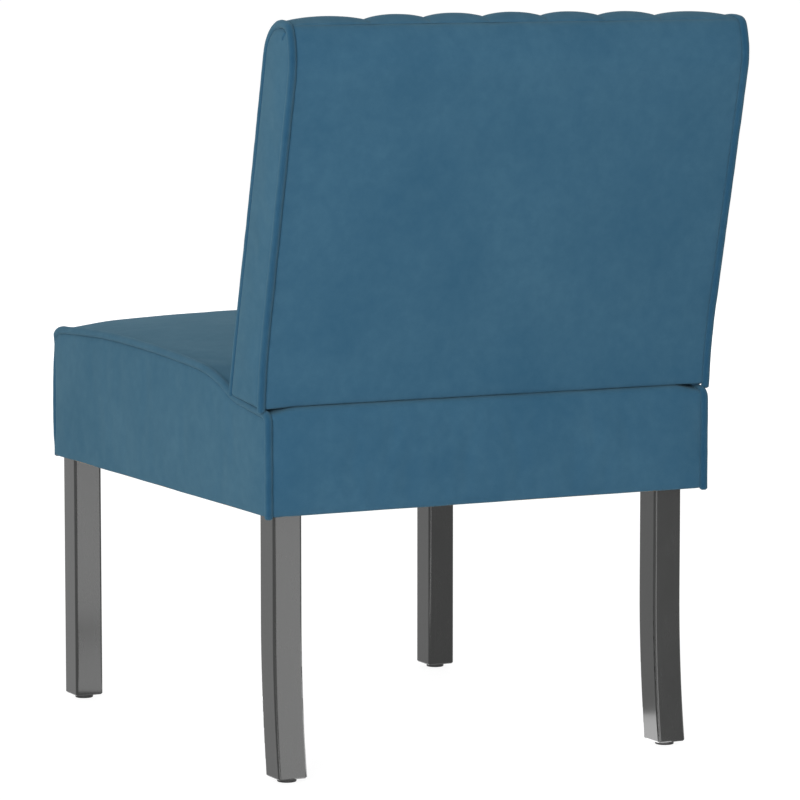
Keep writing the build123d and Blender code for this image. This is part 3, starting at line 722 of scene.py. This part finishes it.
def ripple(seam, seed):
    """Uneven waves along a seam, about nought."""
    steps = np.hypot(*np.diff(seam[:, 1:], axis=0).T)
    along = np.concatenate([[0], np.cumsum(steps)])
    slow = np.array([noise.noise(Vector((place / slow_fold_length, seed, 0))) for place in along])
    quick = np.array([noise.noise(Vector((place / quick_fold_length, seed, 5))) for place in along])
    return slow + quick_fold_share * quick


def nearest(points, seam):
    """Distance of each point from a seam, and the number of its nearest seam point."""
    distances, numbers = [], []
    for part in np.array_split(points, len(points) // points_at_once + 1):
        squares = ((part[:, None] - seam[None]) ** 2).sum(axis=-1)
        numbers.append(squares.argmin(axis=1))
        distances.append(np.sqrt(squares.min(axis=1)))
    return np.concatenate(distances), np.concatenate(numbers)


def finer(seam):
    """Seam line with several points for each of its own."""
    places = np.arange(len(seam))
    fine = np.linspace(0, len(seam) - 1, seam_refinement * len(seam))
    return np.stack([np.interp(fine, places, seam[:, axis]) for axis in range(3)], axis=-1)


def dress(cover, seed):
    """Smooth the cover once, add its small folds and close it on its inner side."""
    piece = cover.piece
    finer_mesh = piece.modifiers.new("finer", "SUBSURF")
    finer_mesh.levels = finer_mesh.render_levels = 1
    apply_modifiers(piece)
    mesh = piece.data
    points, normals = points_of(mesh), normals_of(mesh)
    shift = Vector((seed, 0, 0))
    height = np.array([noise.noise(Vector(point / wave_length) + shift) for point in points])
    height *= wave_height
    for number, seam in enumerate(cover.seams):
        seam = finer(seam)
        distance, place = nearest(points, seam)
        folds = ripple(seam, seed + number / 2)[place]
        begun = soft_step((distance - pucker_start) / pucker_run)
        height += pucker_height * folds * begun * np.exp(-distance / pucker_reach)
        height *= soft_step(distance / seam_calm_reach)
    set_points(mesh, points + normals * height[:, None])
    closed = piece.modifiers.new("closed", "SOLIDIFY")
    closed.thickness = cover_thickness * MILLIMETRE
    closed.offset = -1
    apply_modifiers(piece)
    piece.data.shade_smooth()
    piece.data.set_sharp_from_angle(angle=radians(rim_angle))


for number, cover in enumerate(covers):
    dress(cover, 3 * number + 1)


# Piping along the edges of the side covers
piping_step = 3
piping_sides = 14
piping_uneven_share = 0.05
piping_uneven_length = 14
piping_drift = 0.35
piping_drift_length = 30
cap_reach = 0.35
cap_share = 0.6


def tube(name, path, across, radius, seed):
    """Slightly uneven closed tube along a flat path whose plane has this normal."""
    steps = np.hypot(*np.diff(path, axis=0)[:, 1:].T)
    along = np.concatenate([[0], np.cumsum(steps)])
    places = np.linspace(0, along[-1], int(along[-1] / piping_step) + 1)
    path = np.stack([np.interp(places, along, path[:, axis]) for axis in range(3)], axis=-1)
    forward = np.gradient(path, axis=0)
    forward /= np.linalg.norm(forward, axis=1)[:, None]
    side = np.cross(forward, across)
    turns = np.linspace(0, 2 * pi, piping_sides, endpoint=False)
    rings = []
    for place, centre, normal in zip(places, path, side):
        uneven = 1 + piping_uneven_share * noise.noise(Vector((place / piping_uneven_length, seed, 0)))
        drift = piping_drift * noise.noise(Vector((place / piping_drift_length, seed, 3)))
        ring = np.outer(np.cos(turns), normal) + np.outer(np.sin(turns), across)
        rings.append(centre + normal * drift + ring * radius * uneven)
    caps = []
    for end, sign in ((0, -1), (-1, 1)):
        tip = path[end] + forward[end] * sign * radius * cap_reach
        caps.append(tip + (rings[end] - path[end]) * cap_share)
    grid = np.stack([caps[0], *rings, caps[1]])
    count, size = grid.shape[:2]
    numbers = np.arange(count * size).reshape(count, size)
    quads = grid_faces(np.concatenate([numbers, numbers[:, :1]], axis=1)).tolist()
    quads += [numbers[0].tolist(), numbers[-1][::-1].tolist()]
    mesh = bpy.data.meshes.new(name)
    mesh.from_pydata((grid.reshape(-1, 3) * MILLIMETRE).tolist(), [], quads)
    mesh.shade_smooth()
    made = bpy.data.objects.new(name, mesh)
    scene.collection.objects.link(made)
    return made


def pipings(name, outline, places, half, welt_tail, front_pull):
    """Left and right piping of the seat or the back, by name."""
    made = {}
    for side, word, seed in ((1, "left", 2), (-1, "right", 6)):
        outline_path = outline(welt_inset)
        outline_path[[0, -1], 1] -= hem_radius + welt_tail
        inset = welt_inset + front_pull * toward_front(outline_path[:, 0])
        path = places(side * (half - inset), outline_path)
        pull = front_welt_pull + foot_welt_pull * soft_step((foot_pull_height - path[:, 2]) / foot_pull_run)
        pull = pull * soft_step((seat_front_y + front_pull_reach - path[:, 1]) / front_pull_run)
        path = path + pull[:, None] * np.array((-side, 1, 0))
        full_name = name + "_" + word
        made[full_name] = tube(full_name, path, np.array((1.0, 0, 0)), welt_radius, seed)
    return made


piping = pipings("seat_piping", seat_side_outline, seat_places, seat_half, seat_welt_tail, 0)
piping.update(
    pipings("back_piping", back_side_outline, back_places, back_half, back_welt_tail, back_front_welt_pull)
)

# Dust cloth under the seat, sagging between the rails and cut out round the legs
dust_half = 260
dust_y = (-330.9, 262.1)
dust_z = 290.1
dust_sag = 5
dust_sag_power = 1.5
dust_columns = 53
dust_rows = 60
dust_thickness = 0.8
leg_cut_x = (216, 252)
leg_cuts_y = ((-336.9, -299.9), (211.1, 248.1))


def dust_cloth():
    cut_xs = [*leg_cut_x, *(-x for x in leg_cut_x)]
    xs = np.array(sorted({*np.linspace(-dust_half, dust_half, dust_columns), *cut_xs}))
    cut_ys = [y for cut in leg_cuts_y for y in cut if y > dust_y[0]]
    ys = np.array(sorted({*np.linspace(*dust_y, dust_rows), *cut_ys}))
    x, y = np.meshgrid(xs, ys, indexing="ij")
    u = x / dust_half
    v = (2 * y - sum(dust_y)) / (dust_y[1] - dust_y[0])
    z = dust_z - dust_sag * (1 - u**2) ** dust_sag_power * (1 - v**2) ** dust_sag_power
    points = np.stack([x, y, z], axis=-1).reshape(-1, 3)
    faces = grid_faces(np.arange(x.size).reshape(x.shape))
    middle = points[faces].mean(axis=1)
    cut = np.zeros(len(faces), dtype=bool)
    for low, high in leg_cuts_y:
        across = (np.abs(middle[:, 0]) > leg_cut_x[0]) & (np.abs(middle[:, 0]) < leg_cut_x[1])
        cut |= across & (middle[:, 1] > low) & (middle[:, 1] < high)
    made = make_object("dust_cloth", points, faces[~cut], (0, 0, -1))
    closed = made.modifiers.new("closed", "SOLIDIFY")
    closed.thickness = dust_thickness * MILLIMETRE
    closed.offset = 0
    apply_modifiers(made)
    made.data.shade_smooth()
    return made


dust = dust_cloth()


# Materials
def srgb(*values):
    """Linear colour of an sRGB one given from 0 to 255."""
    shares = [value / 255 for value in values]
    return [s / 12.92 if s <= 0.04045 else ((s + 0.055) / 1.055) ** 2.4 for s in shares] + [1]


class Finish:
    """A material around a Principled shader, with its texture nodes."""

    def __init__(self, name):
        self.material = bpy.data.materials.new(name)
        self.material.use_nodes = True
        self.tree = self.material.node_tree
        self.shader = self.tree.nodes["Principled BSDF"]
        self.place = self.add("ShaderNodeTexCoord").outputs["Object"]

    def add(self, kind, values=(), **settings):
        node = self.tree.nodes.new(kind)
        for key, value in settings.items():
            setattr(node, key, value)
        for key, value in dict(values).items():
            node.inputs[key].default_value = value
        return node

    def link(self, output, target):
        self.tree.links.new(output, target)

    def set(self, **values):
        for key, value in values.items():
            self.shader.inputs[key.replace("_", " ")].default_value = value

    def stretched(self, scale):
        mapping = self.add("ShaderNodeMapping", {"Scale": scale})
        self.link(self.place, mapping.inputs["Vector"])
        return mapping.outputs["Vector"]

    def noise(self, scale, detail=3, roughness=0.5, vector=None):
        node = self.add("ShaderNodeTexNoise", {"Scale": scale, "Detail": detail, "Roughness": roughness})
        self.link(vector or self.place, node.inputs["Vector"])
        return node.outputs["Fac"]

    def mix(self, first, second, share):
        node = self.add("ShaderNodeMix", {"Factor": share})
        self.link(first, node.inputs["A"])
        self.link(second, node.inputs["B"])
        return node.outputs["Result"]

    def ramp(self, value, stops):
        node = self.add("ShaderNodeValToRGB")
        elements = node.color_ramp.elements
        while len(elements) < len(stops):
            elements.new(0.5)
        for element, (place, colour) in zip(elements, stops):
            element.position = place
            element.color = colour
        self.link(value, node.inputs["Fac"])
        return node.outputs["Color"]

    def colour(self, value, stops):
        self.link(self.ramp(value, stops), self.shader.inputs["Base Color"])

    def roughness(self, value, low, high):
        node = self.add("ShaderNodeMapRange", {"To Min": low, "To Max": high})
        self.link(value, node.inputs["Value"])
        self.link(node.outputs["Result"], self.shader.inputs["Roughness"])

    def bump(self, *layers):
        """Layers of height, each with its strength and distance in metres."""
        normal = None
        for height, strength, distance in layers:
            node = self.add("ShaderNodeBump", {"Strength": strength, "Distance": distance})
            self.link(height, node.inputs["Height"])
            if normal is not None:
                self.link(normal, node.inputs["Normal"])
            normal = node.outputs["Normal"]
        self.link(normal, self.shader.inputs["Normal"])


def velvet(name, facing_shades, painted_sheen_shades, wrinkles):
    """Velvet with a painted sheen: Layer Weight turns its base colour paler where it is seen at a slant."""
    made = Finish(name)
    cloud = made.noise(11, 3, 0.5)
    mottle = made.noise(75, 5, 0.62)
    pile = made.noise(1300, 2, 0.6)
    blotches = made.mix(cloud, mottle, 0.5)
    shade = made.mix(blotches, pile, 0.2)
    stops = (0.36, 0.5, 0.64)
    # Painted sheen: the base colour is mixed from the facing shades towards paler painted sheen shades by
    # how slanted the surface is seen
    # Sockets of a colour mix, by number: factor 0, first colour 6, second colour 7, result 2
    painted_sheen = made.add("ShaderNodeMix", data_type="RGBA")
    made.link(made.add("ShaderNodeLayerWeight", {"Blend": 0.5}).outputs["Facing"], painted_sheen.inputs[0])
    made.link(made.ramp(shade, tuple(zip(stops, facing_shades))), painted_sheen.inputs[6])
    made.link(made.ramp(shade, tuple(zip(stops, painted_sheen_shades))), painted_sheen.inputs[7])
    made.link(painted_sheen.outputs[2], made.shader.inputs["Base Color"])
    made.roughness(mottle, 0.82, 0.95)
    made.set(Specular_IOR_Level=0.02, Sheen_Weight=0.06, Sheen_Roughness=0.5)
    made.shader.inputs["Sheen Tint"].default_value = srgb(190, 215, 228)
    made.bump((pile, 0.25, 0.0004), (mottle, 0.15, wrinkles))
    return made.material


def lacquer():
    """Dark satin lacquer over faint upright grain."""
    made = Finish("leg_lacquer_black")
    grain = made.noise(1, 4, 0.6, made.stretched((260, 260, 14)))
    cloud = made.noise(24, 3)
    made.colour(made.mix(grain, cloud, 0.5), ((0.3, srgb(26, 27, 26)), (0.7, srgb(34, 35, 34))))
    made.roughness(cloud, 0.14, 0.2)
    made.set(Specular_IOR_Level=0.5)
    made.bump((grain, 0.03, 0.0004))
    return made.material


def plastic():
    made = Finish("glide_plastic")
    grit = made.noise(1800, 3)
    made.colour(grit, ((0.3, srgb(20, 20, 21)), (0.7, srgb(32, 32, 33))))
    made.roughness(grit, 0.4, 0.6)
    made.bump((grit, 0.2, 0.0002))
    return made.material


def timber(name, dark, light, along):
    made = Finish(name)
    grain = made.noise(1, 5, 0.65, made.stretched(along))
    patches = made.noise(9, 3)
    made.colour(made.mix(grain, patches, 0.35), ((0.3, dark), (0.7, light)))
    made.roughness(grain, 0.6, 0.8)
    made.bump((grain, 0.25, 0.0006))
    return made.material


def steel():
    made = Finish("zinc_steel")
    brush = made.noise(1, 4, 0.6, made.stretched((900, 900, 60)))
    made.colour(brush, ((0.3, srgb(150, 152, 155)), (0.7, srgb(190, 191, 193))))
    made.roughness(brush, 0.28, 0.45)
    made.set(Metallic=1)
    made.bump((brush, 0.1, 0.0002))
    return made.material


def woven(name, dark, light, pitch):
    made = Finish(name)
    waves = []
    for direction in ("X", "Y"):
        wave = made.add("ShaderNodeTexWave", {"Scale": pitch, "Distortion": 0.6}, bands_direction=direction)
        made.link(made.place, wave.inputs["Vector"])
        waves.append(wave.outputs["Fac"])
    weave = made.mix(waves[0], waves[1], 0.5)
    made.colour(made.mix(weave, made.noise(90, 4), 0.4), ((0.3, dark), (0.7, light)))
    made.roughness(weave, 0.85, 0.95)
    made.bump((weave, 0.4, 0.0005))
    return made.material


def open_foam():
    made = Finish("foam_cells")
    cells = made.add("ShaderNodeTexVoronoi", {"Scale": 700})
    made.link(made.place, cells.inputs["Vector"])
    size = cells.outputs["Distance"]
    made.colour(size, ((0.1, srgb(214, 205, 170)), (0.7, srgb(232, 226, 196))))
    made.roughness(size, 0.85, 0.95)
    made.bump((size, 0.5, 0.0006))
    return made.material


# Velvet colours: the first row is the cloth seen face on, the second row is paler painted sheen for slanted
# views
velvet_facing = (srgb(49, 90, 117), srgb(55, 95, 121), srgb(61, 101, 126))
velvet_painted_sheen = (srgb(71, 109, 128), srgb(77, 114, 132), srgb(83, 119, 136))
# Piping: the same velvet as the covers, with painted shade making it darker face on and painted sheen
# making it paler at a slant
piping_painted_shade = (srgb(36, 75, 102), srgb(41, 80, 106), srgb(47, 86, 111))
piping_painted_sheen = (srgb(76, 114, 133), srgb(82, 119, 137), srgb(88, 124, 141))
finishes = {
    "velvet": velvet("velvet_blue", velvet_facing, velvet_painted_sheen, 0.0006),
    "piping_velvet": velvet("piping_blue_painted_shade", piping_painted_shade, piping_painted_sheen, 0.001),
    "leg_lacquer": lacquer(),
    "glide_black": plastic(),
    "frame_wood": timber("frame_pine", srgb(176, 137, 92), srgb(214, 180, 134), (90, 12, 90)),
    "plywood": timber("plywood", srgb(170, 136, 98), srgb(208, 178, 138), (12, 90, 90)),
    "foam": open_foam(),
    "webbing": woven("webbing_black", srgb(28, 28, 30), srgb(58, 58, 62), 330),
    "dust_cloth": woven("dust_cloth_black", srgb(20, 20, 21), srgb(38, 38, 40), 420),
    "steel": steel(),
}

# Pieces on the body, in place of the solids that they stand for
stands_for = {
    "seat_top_pad": ("velvet", ("seat_cover_top", "seat_foam")),
    "seat_rear_pad": ("velvet", ("seat_cover_rear",)),
    "seat_side_pad_left": ("velvet", ("seat_cover_left",)),
    "seat_side_pad_right": ("velvet", ("seat_cover_right",)),
    "back_rear_pad": ("velvet", ("back_cover_rear",)),
    "back_front_pad": ("velvet", ("back_channel_panel", "back_foam")),
    "back_side_pad_left": ("velvet", ("back_cover_left", "back_wadding_left")),
    "back_side_pad_right": ("velvet", ("back_cover_right", "back_wadding_right")),
    "seat_piping_left": ("piping_velvet", ("seat_welt_left",)),
    "seat_piping_right": ("piping_velvet", ("seat_welt_right",)),
    "back_piping_left": ("piping_velvet", ("back_welt_left",)),
    "back_piping_right": ("piping_velvet", ("back_welt_right",)),
    "dust_cloth": ("dust_cloth", ("dust_cover",)),
}
made_pieces = {cover.piece.name: cover.piece for cover in covers}
made_pieces.update(piping)
made_pieces["dust_cloth"] = dust
for name, (slot, nodes) in stands_for.items():
    piece = made_pieces[name]
    piece.data.materials.append(finishes[slot])
    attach(piece, "root")
    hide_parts(*nodes)
for subpart in frame["record"]["subparts"]:
    node = frame["nodes"][subpart["node"]]
    node.data.materials.clear()
    node.data.materials.append(finishes[subpart["material_slot"]])

# Floor, light and camera
floor_half = 40
floor_mesh = bpy.data.meshes.new("floor")
floor_signs = ((-1, -1), (1, -1), (1, 1), (-1, 1))
floor_corners = [(x * floor_half, y * floor_half, 0) for x, y in floor_signs]
floor_mesh.from_pydata(floor_corners, [], [(0, 1, 2, 3)])
floor = bpy.data.objects.new("floor", floor_mesh)
scene.collection.objects.link(floor)


def seen_rays(tree):
    """One for rays from the camera, in reflections and through glass, and nought for other rays."""
    path = tree.nodes.new("ShaderNodeLightPath")
    value = path.outputs["Is Camera Ray"]
    for name in ("Is Glossy Ray", "Is Transmission Ray"):
        either = tree.nodes.new("ShaderNodeMath")
        either.operation = "MAXIMUM"
        tree.links.new(value, either.inputs[0])
        tree.links.new(path.outputs[name], either.inputs[1])
        value = either.outputs[0]
    return value


floor_shade = 0.8
shadow_shade = 0.22
floor_glow = 0.91


def floor_finish():
    """White floor that shows a faint shadow."""
    made = bpy.data.materials.new("floor_white")
    made.use_nodes = True
    tree = made.node_tree
    tree.nodes.clear()
    plain = tree.nodes.new("ShaderNodeBsdfDiffuse")
    plain.inputs["Color"].default_value = (floor_shade,) * 3 + (1,)
    faint = tree.nodes.new("ShaderNodeBsdfDiffuse")
    faint.inputs["Color"].default_value = (shadow_shade,) * 3 + (1,)
    glow = tree.nodes.new("ShaderNodeEmission")
    glow.inputs["Strength"].default_value = floor_glow
    both = tree.nodes.new("ShaderNodeAddShader")
    choice = tree.nodes.new("ShaderNodeMixShader")
    output = tree.nodes.new("ShaderNodeOutputMaterial")
    tree.links.new(faint.outputs[0], both.inputs[0])
    tree.links.new(glow.outputs[0], both.inputs[1])
    tree.links.new(seen_rays(tree), choice.inputs[0])
    tree.links.new(plain.outputs[0], choice.inputs[1])
    tree.links.new(both.outputs[0], choice.inputs[2])
    tree.links.new(choice.outputs[0], output.inputs[0])
    return made


floor_mesh.materials.append(floor_finish())

ambient_strength = 0.47
world = bpy.data.worlds.new("studio")
scene.world = world
world.use_nodes = True
world_tree = world.node_tree
world_tree.nodes.clear()
ambient = world_tree.nodes.new("ShaderNodeBackground")
ambient.inputs["Strength"].default_value = ambient_strength
backdrop = world_tree.nodes.new("ShaderNodeBackground")
for background in (ambient, backdrop):
    background.inputs["Color"].default_value = (1, 1, 1, 1)
world_choice = world_tree.nodes.new("ShaderNodeMixShader")
world_output = world_tree.nodes.new("ShaderNodeOutputWorld")
world_tree.links.new(seen_rays(world_tree), world_choice.inputs[0])
world_tree.links.new(ambient.outputs[0], world_choice.inputs[1])
world_tree.links.new(backdrop.outputs[0], world_choice.inputs[2])
world_tree.links.new(world_choice.outputs[0], world_output.inputs[0])


def softbox(name, place, aim, size, power, glossy=True):
    """Square soft lamp at a place, turned to its aim."""
    lamp = bpy.data.lights.new(name, "AREA")
    lamp.shape = "SQUARE"
    lamp.size = size
    lamp.energy = power
    made = bpy.data.objects.new(name, lamp)
    made.location = place
    made.rotation_euler = (Vector(aim) - Vector(place)).to_track_quat("-Z", "Y").to_euler()
    made.visible_glossy = glossy
    scene.collection.objects.link(made)


chair_middle = (0, 0, 0.45)
softbox("key_softbox", (3.5, 3.7, 1.5), chair_middle, size=2.6, power=168)
softbox("front_softbox", (-2.2, -4.6, 1.9), chair_middle, size=2.6, power=130, glossy=False)


def reflector(name, place, turn, size, power):
    """Glowing card that shows only as a gloss on the lacquer of the legs."""
    lamp = bpy.data.lights.new(name, "AREA")
    lamp.shape = "RECTANGLE"
    lamp.size, lamp.size_y = size
    lamp.energy = power * size[0] * size[1]
    made = bpy.data.objects.new(name, lamp)
    made.location = place
    made.rotation_euler = [radians(angle) for angle in turn]
    made.visible_camera = False
    made.visible_diffuse = False
    scene.collection.objects.link(made)


reflector("floor_reflector", (-0.3, 1.06, 0.002), (180, 0, 25), size=(0.56, 1.9), power=10)
reflector("low_reflector", (0.125, -0.09, 0.002), (180, 0, 26.8), size=(0.12, 0.4), power=9)
reflector("standing_reflector", (-0.35, 2.0, 0.4), (-90, 0, 0), size=(1.25, 0.8), power=10)

camera_place = Vector((2.22100, 4.44374, 0.94339))
camera_yaw = -2.6736682
camera_pitch = -0.1139759
camera_focus = 198.061
camera_sensor = 36
camera = bpy.data.cameras.new("camera")
camera.lens = camera_focus
camera.sensor_width = camera_sensor
camera_object = bpy.data.objects.new("camera", camera)
camera_object.location = camera_place
level = cos(camera_pitch)
aim = Vector((sin(camera_yaw) * level, cos(camera_yaw) * level, sin(camera_pitch)))
camera_object.rotation_euler = aim.to_track_quat("-Z", "Y").to_euler()
scene.collection.objects.link(camera_object)
scene.camera = camera_object
scene.view_settings.view_transform = "Standard"
